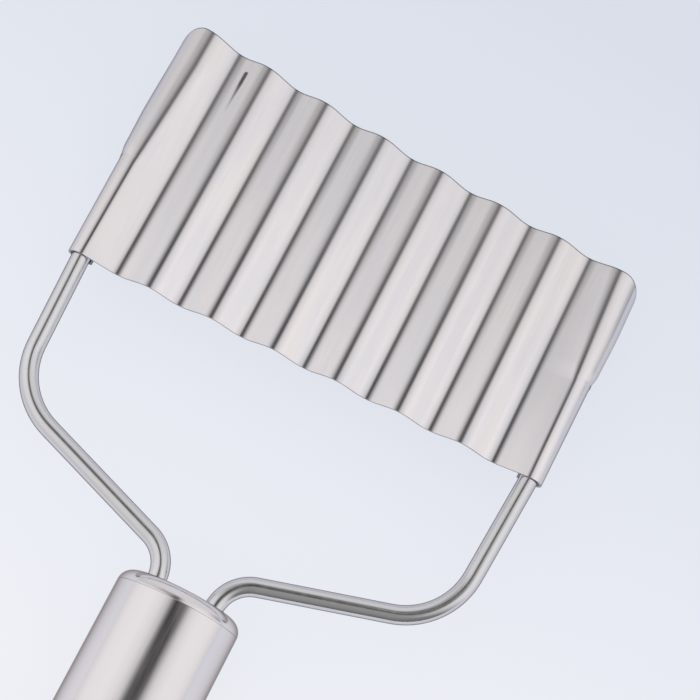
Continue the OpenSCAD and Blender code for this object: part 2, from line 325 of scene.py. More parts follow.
# Inputs of the blade's tree: the word in its formulas and the input's name, which is the name of the
# size in the sidebar where the two are the same thing
BLADE_INPUTS = {
    "pitch": "Wave pitch", "waves": "Waves", "wave_h": "Wave height", "wanted_r": "Bend radius",
    "sheet_t": "Sheet thickness", "middle_h": "Blade height", "slant": "Edge slant", "bow": "Edge bow",
    "corner": "Corner radius", "bevel": "Bevel width", "edge_t": "Edge thickness",
    "hem": "Hem length", "hem_turn": "Hem turn", "hem_slack": "Hem slack", "hem_growth": "Hem growth",
    "flange_crest": "Flange crest", "flange_out": "Flange reach", "flange_turn": "Flange turn",
    "flare": "Flare length", "crest_z": "Crest level", "arm_x": "Arm line", "back_y": "Back edge",
}


def curled_side(tree, v, height):
    """Place and slope of the sheet beyond its last regular bend, at a height above the back edge."""
    w = dict(v, height=height)
    work_out(tree, w, [
        ("turn", SMOOTH_STEP, "height", "hem", "flap_top", "hem_turn", "flange_turn"),
        ("crest_x", RAMP, "height", "hem", "crest_top", "arm_x", "flange_crest_x"),
        ("hem_side", RAMP, "height", 0.0, "hem", "hem_foot", "hem_head"),
        ("side", SMOOTH_STEP, "height", "hem", "step_top", "hem_side", "flange_side"),
        # Radius of the curled edge, limited so that a flat face fits beside the last valley bend
        ("radius_share", SMOOTH_STEP, "height", "hem", "flare_top", 1.0, "flange_share"),
        ("reach", "SUBTRACT", "side", "crest_x"),
        ("free_r", "DIVIDE", "reach", "radius_share"),
        ("dx", "SUBTRACT", "crest_x", "last_valley_x"),
        ("dx2", "MULTIPLY", "dx", "dx"),
        ("span2", "MULTIPLY_ADD", "depth", "depth", "dx2"),
        ("halved", "MULTIPLY", "span2", MOST_CURL / 2),
        ("both_r", "DIVIDE", "halved", "depth"),
        ("most_r", "MULTIPLY_ADD", "bend_r", -MOST_CURL, "both_r"),
        ("r", "MINIMUM", "free_r", "most_r"),
        # Slope of the last flat face, which lies against the last valley bend and the curled edge
        ("cz", "SUBTRACT", "crest_z", "r"),
        ("dz", "SUBTRACT", "cz", "valley_cz"),
        ("d2", "MULTIPLY_ADD", "dz", "dz", "dx2"),
        ("d", "SQRT", "d2"),
        ("radii", "ADD", "r", "bend_r"),
        ("radii/d", "DIVIDE", "radii", "d"),
        ("lift", "ARCSINE", "radii/d"),
        ("bearing", "ARCTAN2", "dz", "dx"),
        ("last", "ADD", "bearing", "lift"),
        ("sin_last", "SINE", "last"),
        ("cos_last", "COSINE", "last"),
        # Along the last valley bend
        ("s1", "MULTIPLY", "last", "t1"),
        ("sin1", "SINE", "s1"),
        ("cos1", "COSINE", "s1"),
        ("x1", "MULTIPLY_ADD", "bend_r", "sin1", "last_valley_x"),
        ("drop1", "MULTIPLY", "bend_r", "cos1"),
        ("z1", "SUBTRACT", "valley_cz", "drop1"),
        # Along the last flat face
        ("back2", "MULTIPLY", "radii", "sin_last"),
        ("run2", "SUBTRACT", "dx", "back2"),
        ("rise2", "MULTIPLY_ADD", "radii", "cos_last", "dz"),
        ("x2", "MULTIPLY_ADD", "run2", "t2", "x1"),
        ("z2", "MULTIPLY_ADD", "rise2", "t2", "z1"),
        # Round the curled side
        ("turned", "MULTIPLY", "turn", "t3"),
        ("s3", "SUBTRACT", "last", "turned"),
        ("sin3", "SINE", "s3"),
        ("cos3", "COSINE", "s3"),
        ("dsin", "SUBTRACT", "sin_last", "sin3"),
        ("dcos", "SUBTRACT", "cos3", "cos_last"),
        ("x", "MULTIPLY_ADD", "r", "dsin", "x2"),
        ("z", "MULTIPLY_ADD", "r", "dcos", "z2"),
        ("slope", "SUBTRACT", "s1", "turned"),
    ])
    return w["x"], w["z"], w["slope"]


def blade_tree():
    """Bends a box of columns and rows into the corrugated sheet with its two curled sides."""
    kinds = dict.fromkeys(BLADE_INPUTS.values(), "Float")
    kinds.update({"Waves": "Int", "Sheet steel": "Material", "Sheared edge": "Material"})
    tree, size = geometry_tree("Crinkle blade", kinds)
    v = {word: size[name] for word, name in BLADE_INPUTS.items()}
    curl_start = ARC_STEPS + FLAT_STEPS
    row_steps = sum(ROWS.values())
    work_out(tree, v, [
        ("inner_waves", "SUBTRACT", "waves", 1.0),
        ("half_columns", "MULTIPLY_ADD", "inner_waves", HALF_PITCH_STEPS, curl_start + CURL_STEPS),
        ("columns", "MULTIPLY_ADD", "half_columns", 2.0, 1.0),
    ])
    sheet = add_node(tree, "GeometryNodeMeshCube", {
        "Size": (1, 1, 1), "Vertices X": v["columns"], "Vertices Y": row_steps + 1, "Vertices Z": 2,
    })
    # The sheet's rim is known by the box's own sides, before anything is bent
    flat_normal = add_node(tree, "GeometryNodeInputNormal")
    nz = add_node(tree, "ShaderNodeSeparateXYZ", {0: flat_normal.outputs[0]}).outputs[2]
    work_out(tree, v, [("face_up", "ABSOLUTE", nz), ("rim", "LESS_THAN", "face_up", 0.5)])
    marked = add_node(tree, "GeometryNodeStoreNamedAttribute", {
        "Geometry": sheet.outputs["Mesh"], "Name": "rim", "Value": v["rim"],
    }, data_type="FLOAT", domain="FACE")

    place = add_node(tree, "GeometryNodeInputPosition")
    box = add_node(tree, "ShaderNodeSeparateXYZ", {0: place.outputs[0]}).outputs
    work_out(tree, v, [
        # Shape of a regular wave
        ("steepness", "DIVIDE", "wave_h", "pitch"),
        ("tan_slope", "MULTIPLY", "steepness", 2.0),
        ("face_slope", "ARCTANGENT", "tan_slope"),
        ("sin_slope", "SINE", "face_slope"),
        ("cos_slope", "COSINE", "face_slope"),
        ("half_pitch", "MULTIPLY", "pitch", 0.5),
        ("most_run", "MULTIPLY", "half_pitch", MOST_BEND),
        ("most_bend", "DIVIDE", "most_run", "sin_slope"),
        ("bend_r", "MINIMUM", "wanted_r", "most_bend"),
        ("bend/cos", "DIVIDE", "bend_r", "cos_slope"),
        ("corner_cut", "SUBTRACT", "bend/cos", "bend_r"),
        ("depth", "MULTIPLY_ADD", "corner_cut", -2.0, "wave_h"),
        ("half_depth", "MULTIPLY", "depth", 0.5),
        ("mid_z", "SUBTRACT", "crest_z", "half_depth"),
        ("valley_z", "SUBTRACT", "crest_z", "depth"),
        ("valley_cz", "ADD", "valley_z", "bend_r"),
        ("half_w", "MULTIPLY", "half_pitch", "waves"),
        ("last_valley_x", "MULTIPLY", "half_pitch", "inner_waves"),
        ("bends_run", "MULTIPLY", "bend_r", "sin_slope"),
        ("flat_run", "MULTIPLY_ADD", "bends_run", -2.0, "half_pitch"),
        ("flat_drop", "MULTIPLY", "flat_run", "tan_slope"),
        # Heights at which the flare, the flap, the step and the crest line end, and the side's outline
        ("flare_top", "ADD", "hem", "flare"),
        ("flap_top", "MULTIPLY_ADD", "flare", 1 / FLAP_SHARPNESS, "hem"),
        ("step_top", "MULTIPLY_ADD", "flare", 1 / STEP_SHARPNESS, "hem"),
        ("crest_top", "MULTIPLY_ADD", "flare", CREST_LENGTH, "hem"),
        ("close_side", "ADD", "arm_x", "crest_z"),
        ("hem_foot", "ADD", "close_side", "hem_slack"),
        ("hem_head", "ADD", "hem_foot", "hem_growth"),
        ("flange_crest_x", "ADD", "half_w", "flange_crest"),
        ("flange_side", "ADD", "half_w", "flange_out"),
        # How much of its radius the open flange reaches out beyond its crest
        ("flange_rise", "SUBTRACT", "flange_turn", "face_slope"),
        ("flange_quarter", "MINIMUM", "flange_rise", math.pi / 2),
        ("flange_share", "SINE", "flange_quarter"),
        # Which step of the section this column stands at, counted from the centre line
        ("side_sign", "SIGN", box[0]),
        ("across", "MULTIPLY", box[0], 2.0),
        ("across_abs", "ABSOLUTE", "across"),
        ("steps_raw", "MULTIPLY", "across_abs", "half_columns"),
        ("steps", "ROUND", "steps_raw"),
        ("wave_steps", "MULTIPLY", "inner_waves", HALF_PITCH_STEPS),
        ("beyond", "SUBTRACT", "steps", "wave_steps"),
        ("in_side", "GREATER_THAN", "beyond", 0.0),
        ("t1", RAMP, "beyond", 0.0, ARC_STEPS, 0.0, 1.0),
        ("t2", RAMP, "beyond", ARC_STEPS, curl_start, 0.0, 1.0),
        ("t3", RAMP, "beyond", curl_start, curl_start + CURL_STEPS, 0.0, 1.0),
    ])

    # Regular waves: from a ridge or a valley, round half a bend, down a flat, round half a bend
    work_out(tree, v, [
        ("count", "DIVIDE", "steps", HALF_PITCH_STEPS),
        ("k", "FLOOR", "count"),
        ("k_step", "MULTIPLY", "k", HALF_PITCH_STEPS),
        ("j", "SUBTRACT", "steps", "k_step"),
        ("k_out", "SUBTRACT", "waves", "k"),
        ("odd", "FLOORED_MODULO", "k_out", 2.0),
        ("crest", "MULTIPLY_ADD", "odd", -2.0, 1.0),
        ("a", RAMP, "j", 0.0, ARC_STEPS, 0.0, 1.0),
        ("b", RAMP, "j", ARC_STEPS, curl_start, 0.0, 1.0),
        ("c", RAMP, "j", curl_start, HALF_PITCH_STEPS, 0.0, 1.0),
        ("slope_a", "MULTIPLY", "face_slope", "a"),
        ("left_c", "SUBTRACT", 1.0, "c"),
        ("slope_c", "MULTIPLY", "face_slope", "left_c"),
        ("sin_a", "SINE", "slope_a"),
        ("cos_a", "COSINE", "slope_a"),
        ("sin_c", "SINE", "slope_c"),
        ("cos_c", "COSINE", "slope_c"),
        ("arcs_x1", "ADD", "sin_a", "sin_slope"),
        ("arcs_x", "SUBTRACT", "arcs_x1", "sin_c"),
        ("arcs_z1", "SUBTRACT", 1.0, "cos_a"),
        ("arcs_z2", "ADD", "arcs_z1", "cos_c"),
        ("arcs_z", "SUBTRACT", "arcs_z2", "cos_slope"),
        ("x_k", "MULTIPLY", "k", "half_pitch"),
        ("x_b", "MULTIPLY_ADD", "flat_run", "b", "x_k"),
        ("wave_x", "MULTIPLY_ADD", "bend_r", "arcs_x", "x_b"),
        ("z_b", "MULTIPLY", "flat_drop", "b"),
        ("fall", "MULTIPLY_ADD", "bend_r", "arcs_z", "z_b"),
        ("rise", "SUBTRACT", "half_depth", "fall"),
        ("wave_z", "MULTIPLY_ADD", "crest", "rise", "mid_z"),
        ("slope_ac", "SUBTRACT", "a", "c"),
        ("slope_size", "MULTIPLY", "slope_ac", "face_slope"),
        ("downhill", "MULTIPLY", "crest", -1.0),
        ("wave_slope", "MULTIPLY", "slope_size", "downhill"),
    ])

    # Height of the slanted edge with its rounded corners over this column, where the sheet is open
    v["open_side"] = curled_side(tree, v, v["crest_top"])[0]
    # The curled side's last column shows how far the open flange reaches
    rest = dict(v, t1=1.0, t2=1.0, t3=1.0)
    v["flange_x"] = curled_side(tree, rest, v["crest_top"])[0]
    work_out(tree, v, [
        ("open_x", CHOICE, "in_side", "wave_x", "open_side"),
        ("corner_x", "SUBTRACT", "flange_x", "corner"),
        ("over1", "SUBTRACT", "open_x", "corner_x"),
        ("over2", "MAXIMUM", "over1", 0.0),
        ("over", "MINIMUM", "over2", "corner"),
        ("over_sq", "MULTIPLY", "over", "over"),
        ("corner_sq", "MULTIPLY", "corner", "corner"),
        ("left_sq", "SUBTRACT", "corner_sq", "over_sq"),
        ("left", "SQRT", "left_sq"),
        ("drop", "SUBTRACT", "corner", "left"),
        ("signed_x", "MULTIPLY", "open_x", "side_sign"),
        ("tan_slant", "TANGENT", "slant"),
        ("slanted", "MULTIPLY", "signed_x", "tan_slant"),
        ("top1", "SUBTRACT", "middle_h", "slanted"),
        ("out_share", "DIVIDE", "open_x", "half_w"),
        ("out_share2", "MULTIPLY", "out_share", "out_share"),
        ("top2", "MULTIPLY_ADD", "out_share2", "bow", "top1"),
        ("top", "SUBTRACT", "top2", "drop"),
        ("bevel_y", "SUBTRACT", "top", "bevel"),
        ("room", "SUBTRACT", "bevel_y", LEAST_UPPER),
        ("flared_y", "MINIMUM", "flare_top", "room"),
        ("row_raw", "MULTIPLY_ADD", box[1], row_steps, row_steps / 2),
        ("row", "ROUND", "row_raw"),
    ])
    # Height of this row
    first = 0
    for name, steps in ROWS.items():
        work_out(tree, v, [(name + "_share", RAMP, "row", first, first + steps, 0.0, 1.0)])
        first += steps
    work_out(tree, v, [
        # The flare's rows lie closer at its start
        ("flare_share2", "MULTIPLY", "flare_share", "flare_share"),
        ("flare_h", "SUBTRACT", "flared_y", "hem"),
        ("upper_h", "SUBTRACT", "bevel_y", "flared_y"),
        ("h1", "MULTIPLY", "hem", "hem_share"),
        ("h2", "MULTIPLY_ADD", "flare_h", "flare_share2", "h1"),
        ("h3", "MULTIPLY_ADD", "upper_h", "upper_share", "h2"),
        ("h", "MULTIPLY_ADD", "bevel", "bevel_share", "h3"),
        # The bevel takes the sheet away from its lower face
        ("lower", "LESS_THAN", box[2], 0.0),
        ("ground_t", "SUBTRACT", "sheet_t", "edge_t"),
        ("ground", "MULTIPLY", "ground_t", "bevel_share"),
        ("ground_off", "MULTIPLY", "ground", "lower"),
        ("off", "MULTIPLY_ADD", box[2], "sheet_t", "ground_off"),
    ])
    v["side_x"], v["side_z"], v["side_slope"] = curled_side(tree, v, v["h"])
    work_out(tree, v, [
        ("x", CHOICE, "in_side", "wave_x", "side_x"),
        ("z", CHOICE, "in_side", "wave_z", "side_z"),
        ("slope", CHOICE, "in_side", "wave_slope", "side_slope"),
        ("sin_s", "SINE", "slope"),
        ("cos_s", "COSINE", "slope"),
        ("off_x", "MULTIPLY", "off", "sin_s"),
        ("x_face", "SUBTRACT", "x", "off_x"),
        ("final_x", "MULTIPLY", "x_face", "side_sign"),
        ("final_y", "ADD", "back_y", "h"),
        ("to_edge", "SUBTRACT", "top", "h"),
        ("final_z", "MULTIPLY_ADD", "off", "cos_s", "z"),
    ])
    final = add_node(tree, "ShaderNodeCombineXYZ", {0: v["final_x"], 1: v["final_y"], 2: v["final_z"]})
    # The sheet's material needs the distance to the cutting edge
    measured = add_node(tree, "GeometryNodeStoreNamedAttribute", {
        "Geometry": marked.outputs[0], "Name": "to_edge", "Value": v["to_edge"],
    }, data_type="FLOAT", domain="POINT")
    bent = add_node(tree, "GeometryNodeSetPosition", {
        "Geometry": measured.outputs[0], "Position": final.outputs[0],
    })
    rim = add_node(tree, "GeometryNodeInputNamedAttribute", {"Name": "rim"}, data_type="FLOAT")
    real = add_node(tree, "GeometryNodeRealizeInstances", {0: bent.outputs[0]})
    sheeted = add_node(tree, "GeometryNodeSetMaterial", {
        "Geometry": real.outputs[0], "Material": size["Sheet steel"],
    })
    edged = add_node(tree, "GeometryNodeSetMaterial", {
        "Geometry": sheeted.outputs[0], "Selection": rim.outputs["Attribute"],
        "Material": size["Sheared edge"],
    })
    add_node(tree, "NodeGroupOutput", {0: edged.outputs[0]})
    return tree


class CUTTER_OT_blade(bpy.types.Operator):
    """Build the corrugated blade with its rolled hems and open flanges"""

    bl_idname = "cutter.blade"
    bl_label = "Blade"

    def execute(self, context):
        blade, wires = context.scene.cutter_blade, context.scene.cutter_wires
        finish = context.scene.cutter_finish
        values = {blade.bl_rna.properties[key].name: getattr(blade, key)
                  for key in CutterBladeSizes.__annotations__}
        values.update({
            "Crest level": wires.arm / 2 + blade.wire_fit + blade.thickness / 2,
            "Arm line": blade.waves * blade.pitch / 2 + blade.hem_out,
            "Back edge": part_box("blade")[0].y,
            "Sheet steel": rolled_sheet_steel(finish), "Sheared edge": sheared_sheet_edge(finish),
        })
        made = grow("crinkle_blade", bpy.data.meshes.new("crinkle_blade"), blade_tree(), values)
        finish_piece(made, "sheet_steel", "blade")
        return {"FINISHED"}


# Wires

WIRE_SIDES = 40
BEND_STEPS = 18
# The loop's two bends each take a hair less than half its width, so that they never overrun each other
LOOP_BEND = 0.9999


def wire_tree():
    """Rounds the corners of a chain of edges and sweeps a round wire along it."""
    tree, size = geometry_tree("Bent wire", {
        "Wire diameter": "Float", "Bend steps": "Int", "Sides": "Int", "Wire steel": "Material",
    })
    path = add_node(tree, "GeometryNodeMeshToCurve", {0: size["Geometry"]})
    bend = add_node(tree, "GeometryNodeInputNamedAttribute", {"Name": "bend_radius"}, data_type="FLOAT")
    round_path = add_node(tree, "GeometryNodeFilletCurve", {
        "Curve": path.outputs[0], "Count": size["Bend steps"], "Radius": bend.outputs["Attribute"],
    }, mode="POLY")
    radius = add_node(tree, "ShaderNodeMath", {0: size["Wire diameter"], 1: 0.5}, operation="MULTIPLY")
    ring = add_node(tree, "GeometryNodeCurvePrimitiveCircle", {
        "Resolution": size["Sides"], "Radius": radius.outputs[0],
    })
    swept = add_node(tree, "GeometryNodeCurveToMesh", {
        "Curve": round_path.outputs[0], "Profile Curve": ring.outputs[0], "Fill Caps": True,
    })
    end_tree(tree, swept.outputs[0], size["Wire steel"])
    return tree


def bent_wire(name, points, bend_radii, diameter, tree, material):
    """A wire along points in the XY plane, with the given bend radius at each inner point."""
    mesh = bpy.data.meshes.new(name)
    last = len(points) - 1
    mesh.from_pydata([(x, y, 0) for x, y in points], [(i, i + 1) for i in range(last)], [])
    radii = mesh.attributes.new("bend_radius", "FLOAT", "POINT")
    radii.data.foreach_set("value", [0.0, *bend_radii, 0.0])
    return grow(name, mesh, tree, {
        "Wire diameter": diameter, "Bend steps": BEND_STEPS, "Sides": WIRE_SIDES,
        "Wire steel": material,
    })


class CUTTER_OT_arms(bpy.types.Operator):
    """Build the two bent wire arms between the handle and the blade's hems"""

    bl_idname = "cutter.arms"
    bl_label = "Arms"

    def execute(self, context):
        blade, wires = context.scene.cutter_blade, context.scene.cutter_wires
        back_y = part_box("blade")[0].y
        front_y = context.scene.cutter_handle.length / 2
        hem_x = blade.waves * blade.pitch / 2 + blade.hem_out
        tree, steel = wire_tree(), drawn_wire_steel(context.scene.cutter_finish)
        for side, node in ((1, "right_arm"), (-1, "left_arm")):
            lean, slope = wires.lean + side * wires.lean_skew, wires.slope - side * wires.slope_skew
            root_corner = front_y + wires.neck + wires.inner_bend * math.tan((math.pi / 2 - slope) / 2)
            # Each leg is as long as its cross run and its lean ask for, so that it meets the blade
            rise = back_y - root_corner - (hem_x - wires.root) * math.tan(slope)
            leg = rise / (1 - math.tan(lean) * math.tan(slope))
            half_path = [
                (hem_x, back_y + wires.grip),
                (hem_x, back_y),
                (hem_x - leg * math.tan(lean), back_y - leg),
                (wires.root, root_corner),
                (wires.root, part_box(node)[0].y),
            ]
            points = [(side * x, y) for x, y in half_path]
            bends = (wires.entry_bend, wires.outer_bend, wires.inner_bend)
            made = bent_wire(node + "_wire", points, bends, wires.arm, tree, steel)
            finish_piece(made, "wire_steel", node)
        return {"FINISHED"}


class CUTTER_OT_loop(bpy.types.Operator):
    """Build the wire loop that the cutter hangs from"""

    bl_idname = "cutter.loop"
    bl_label = "Hanging loop"

    def execute(self, context):
        wires = context.scene.cutter_wires
        rear_y = -context.scene.cutter_handle.length / 2
        end_y = rear_y - wires.loop_out + wires.loop / 2
        r = wires.loop_radius
        points = [(-r, rear_y + wires.loop_in), (-r, end_y), (r, end_y), (r, rear_y + wires.loop_in)]
        bend = r * LOOP_BEND
        made = bent_wire("hanging_loop_wire", points, (bend, bend), wires.loop, wire_tree(),
                         drawn_wire_steel(context.scene.cutter_finish))
        finish_piece(made, "wire_steel", "hanging_loop")
        return {"FINISHED"}


# Handle

TURNED_SIDES = 160
EDGE_STEPS = 16
# Rows of the tube's outside, and how much of its length they span
TUBE_ROWS = 13
TUBE_SPAN = 0.9
# A radius below this, in metres, is a point on the axis
ON_AXIS = 1e-9
# Sides of the drills for the wires' holes, and how many sheets of the cap they are long
DRILL_SIDES = 48
DRILL_LENGTH = 4
# Corners of the tube and the caps are crisp from this many degrees
CRISP = 30


def arc(centre_r, centre_y, radius, start_deg, end_deg, steps=EDGE_STEPS):
    """Points (radius, y) of an arc in the half plane of a turned profile."""
    angles = np.radians(np.linspace(start_deg, end_deg, steps + 1))
    return [(centre_r + radius * math.cos(a), centre_y + radius * math.sin(a)) for a in angles]


def turned(name, profile, facing=1):
    """Turns a profile of (radius, y) round the Y axis, to +Y or to -Y as facing says. A profile that
    starts off the axis is a closed ring."""
    ring = np.radians(np.arange(TURNED_SIDES) * 360 / TURNED_SIDES)
    form = bmesh.new()
    rows = []
    for r, y in profile:
        if r < ON_AXIS:
            rows.append([form.verts.new((0, y * facing, 0))] * TURNED_SIDES)
        else:
            rows.append([form.verts.new((r * math.cos(a), y * facing, r * math.sin(a))) for a in ring])
    following = rows[1:] + rows[:1] if profile[0][0] > ON_AXIS else rows[1:]
    for one, other in zip(rows, following):
        for i in range(TURNED_SIDES):
            corners = [one[i], one[i - 1], other[i - 1], other[i]]
            loop = [c for n, c in enumerate(corners) if c not in corners[:n]]
            if len(loop) > 2:
                form.faces.new(loop)
    bmesh.ops.recalc_face_normals(form, faces=form.faces)
    mesh = bpy.data.meshes.new(name)
    form.to_mesh(mesh)
    form.free()
    return mesh


def cap_with_holes(name, handle, hole_x, hole_r, facing, material):
    """A drawn cap in its tube, with a hole for a wire on each side of the axis."""
    outer_r = handle.diameter / 2
    skirt_r = outer_r - handle.wall - handle.fit
    inner_r = skirt_r - handle.cap_sheet
    front, seam = handle.length / 2, handle.length / 2 - handle.cap_edge
    break_deg = math.degrees(handle.groove / handle.cap_edge)
    inner_edge = handle.cap_edge - handle.cap_sheet
    profile = [
        (0, front),
        *arc(outer_r - handle.cap_edge, seam, handle.cap_edge, 90, break_deg),
        (outer_r - handle.groove, seam),
        (skirt_r, seam),
        (skirt_r, seam - handle.skirt),
        (inner_r, seam - handle.skirt),
        *arc(inner_r - inner_edge, seam, inner_edge, 0, 90),
        (0, front - handle.cap_sheet),
    ]
    made = new_object(name, turned(name, profile, facing))
    drills = []
    for side in (1, -1):
        drill = bmesh.new()
        bmesh.ops.create_cone(drill, cap_ends=True, segments=DRILL_SIDES, radius1=hole_r,
                              radius2=hole_r, depth=DRILL_LENGTH * handle.cap_sheet)
        mesh = bpy.data.meshes.new("drill")
        drill.to_mesh(mesh)
        drill.free()
        tool = new_object("drill", mesh)
        tool.rotation_euler = (math.pi / 2, 0, 0)
        tool.location = (side * hole_x, facing * (front - handle.cap_sheet / 2), 0)
        cut = made.modifiers.new("drill", "BOOLEAN")
        cut.operation, cut.solver, cut.object = "DIFFERENCE", "EXACT", tool
        drills.append(tool)
    apply_modifiers(made)
    for tool in drills:
        bpy.data.objects.remove(tool)
    made.data.materials.clear()
    made.data.materials.append(material)
    return made


class CUTTER_OT_handle(bpy.types.Operator):
    """Build the handle's tube and its two drawn end caps"""

    bl_idname = "cutter.handle"
    bl_label = "Handle"

    def execute(self, context):
        handle, wires = context.scene.cutter_handle, context.scene.cutter_wires
        steel = satin_tube_steel(context.scene.cutter_finish)
        outer_r = handle.diameter / 2
        bore_r = outer_r - handle.wall
        end_y = handle.length / 2 - handle.cap_edge
        groove = handle.groove
        made = new_object("handle_tube_shell", turned("handle_tube_shell", [
            (outer_r - groove, end_y), (outer_r, end_y - groove),
            *[(outer_r, end_y * share) for share in np.linspace(TUBE_SPAN, -TUBE_SPAN, TUBE_ROWS)],
            (outer_r, groove - end_y), (outer_r - groove, -end_y), (bore_r, -end_y), (bore_r, end_y),
        ]))
        made.data.materials.append(steel)
        finish_piece(made, "handle_steel", "handle_tube", sharp_from=CRISP)
        for name, node, hole_x, wire, facing in (
            ("front_end_cap", "front_cap", wires.root, wires.arm, 1),
            ("rear_end_cap", "rear_cap", wires.loop_radius, wires.loop, -1),
        ):
            made = cap_with_holes(name, handle, hole_x, wire / 2 + handle.fit, facing, steel)
            finish_piece(made, "handle_steel", node, sharp_from=CRISP)
        return {"FINISHED"}


class CUTTER_OT_inside(bpy.types.Operator):
    """Give the anchor disc and the weld beads inside the handle their metals"""

    bl_idname = "cutter.inside"
    bl_label = "Anchor and welds"

    def execute(self, context):
        finish = context.scene.cutter_finish
        plain, weld = plain_inner_steel(finish), weld_metal(finish)
        for node, material in (("anchor_disc", plain), ("arm_welds", weld), ("loop_welds", weld)):
            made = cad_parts[node]
            made.data.materials.clear()
            made.data.materials.append(material)
        return {"FINISHED"}


# Finishes

# The span that holds most of a noise pattern's values
NOISE_SPAN = (0.3, 0.7)

# The brown mark on the sheet, in millimetres: its line, the start of its tail, the start of its round
# end, its width there, and how soft its outline is
MARK_X = -34.9
MARK_TAIL = 136.2
MARK_HEAD = 146.5
MARK_WIDTH = 0.74
MARK_SOFT = 0.2


def steel_material(name, base, grazing=None):
    """A metal, its tree and shader, and its texture coordinates; the caller adds what it shows."""
    material = bpy.data.materials.new(name)
    material.use_nodes = True
    tree = material.node_tree
    shader = tree.nodes["Principled BSDF"]
    shader.inputs["Base Color"].default_value = (*base, 1)
    shader.inputs["Metallic"].default_value = 1.0
    if grazing:
        shader.inputs["Specular Tint"].default_value = (*grazing, 1)
    return material, tree, shader, add_node(tree, "ShaderNodeTexCoord").outputs


def stretched_noise(tree, vector, across_mm, along_mm, detail):
    """Noise with grains of the given sizes in millimetres, across and along the Y axis."""
    across, along = 1 / (across_mm * MM), 1 / (along_mm * MM)
    placed = add_node(tree, "ShaderNodeMapping", {
        "Vector": vector, "Scale": (across, along, across),
    })
    return add_node(tree, "ShaderNodeTexNoise", {
        "Vector": placed.outputs[0], "Scale": 1.0, "Detail": detail, "Roughness": 0.5,
    }).outputs["Fac"]


def work_surface(tree, shader, pattern, roughness=None, bump=0, depth_mm=0):
    """Lets a pattern vary the roughness between two values, and raises it by a depth and strength."""
    if roughness:
        rough = add_node(tree, "ShaderNodeMapRange", [pattern, *NOISE_SPAN, *roughness])
        tree.links.new(rough.outputs[0], shader.inputs["Roughness"])
    if bump:
        raised = add_node(tree, "ShaderNodeBump", {
            "Height": pattern, "Strength": bump, "Distance": depth_mm * MM,
        })
        tree.links.new(raised.outputs[0], shader.inputs["Normal"])


def rolled_sheet_steel(finish):
    """Cold-rolled stainless sheet, brushed along the waves.
    It gives broad soft reflections with a faint lengthwise grain and slightly warm and cool patches."""
    material, tree, shader, coords = steel_material(
        "rolled stainless sheet", finish.sheet, finish.sheet_edge)
    # Brushing lines are a few hundredths of a millimetre wide; drawn 0.2 mm wide so that they show
    grain = stretched_noise(tree, coords["Object"], across_mm=0.2, along_mm=12, detail=3)
    # Patches from the rolls, narrower than a wave and about two waves long
    patches = stretched_noise(tree, coords["Object"], across_mm=4, along_mm=22, detail=3)
    place = add_node(tree, "ShaderNodeSeparateXYZ", [coords["Object"]]).outputs
    facing = add_node(tree, "ShaderNodeSeparateXYZ", [coords["Normal"]]).outputs
    to_edge = add_node(tree, "ShaderNodeAttribute", attribute_name="to_edge").outputs["Fac"]
    v = {"x": place[0], "y": place[1], "up": facing[2], "grain": grain, "patches": patches,
         "to_edge": to_edge}
    work_out(tree, v, [
        ("cool", SMOOTH_STEP, "patches", 0.35, 0.65, 0.0, 1.0),
        ("shade", RAMP, "grain", *NOISE_SPAN, 0.965, 1.0),
        # A thin dark line along the cutting edge, darkest within 0.08 mm of it and gone by 0.26 mm
        ("at_edge", RAMP, "to_edge", 0.08 * MM, 0.26 * MM, 0.9, 0.0),
        # The mark runs along the sheet, round towards the cutting edge and tapering away from it
        ("mark_taper", RAMP, "y", MARK_TAIL * MM, (MARK_HEAD - 2) * MM, 0.0, MARK_WIDTH / 2 * MM),
        ("mark_round", SMOOTH_STEP, "y", (MARK_HEAD + 0.1) * MM, (MARK_HEAD + 0.7) * MM, 1.0, 0.2),
        ("mark_half", "MULTIPLY", "mark_taper", "mark_round"),
        ("aside", "ADD", "x", -MARK_X * MM),
        ("aside_abs", "ABSOLUTE", "aside"),
        ("inside", "SUBTRACT", "mark_half", "aside_abs"),
        ("mark_side", SMOOTH_STEP, "inside", -MARK_SOFT * MM, MARK_SOFT * MM, 0.0, 1.0),
        ("mark_end", SMOOTH_STEP, "y", (MARK_HEAD + 0.3) * MM, (MARK_HEAD + 0.6) * MM, 1.0, 0.0),
        ("mark_fade", RAMP, "y", (MARK_TAIL + 1) * MM, (MARK_TAIL + 8) * MM, 0.0, 0.95),
        ("mark1", "MULTIPLY", "mark_side", "mark_end"),
        ("mark2", "MULTIPLY", "mark1", "mark_fade"),
        ("on_top", "GREATER_THAN", "up", 0.0),
        ("mark", "MULTIPLY", "mark2", "on_top"),
    ])
    patched = add_node(tree, "ShaderNodeMix", {
        SHARE: v["cool"], COLOUR_0: (*finish.sheet, 1), COLOUR_1: (*finish.sheet_cool, 1),
    }, data_type="RGBA").outputs[MIXED]
    tone = add_node(tree, "ShaderNodeVectorMath", {"Vector": patched, "Scale": v["shade"]},
                    operation="SCALE").outputs[0]
    for share, overlay in (("at_edge", finish.ground), ("mark", finish.stain)):
        tone = add_node(tree, "ShaderNodeMix", {
            SHARE: v[share], COLOUR_0: tone, COLOUR_1: (*overlay, 1),
        }, data_type="RGBA").outputs[MIXED]
    tree.links.new(tone, shader.inputs["Base Color"])
    work_surface(tree, shader, grain, (0.11, 0.17), bump=0.08, depth_mm=0.02)
    return material


def sheared_sheet_edge(finish):
    """Cut edge of the sheet: dull and darker, because shearing leaves it rough."""
    material, tree, shader, coords = steel_material("sheared sheet edge", finish.sheared)
    tear = stretched_noise(tree, coords["Object"], across_mm=0.2, along_mm=0.2, detail=2)
    work_surface(tree, shader, tear, (0.35, 0.55))
    return material


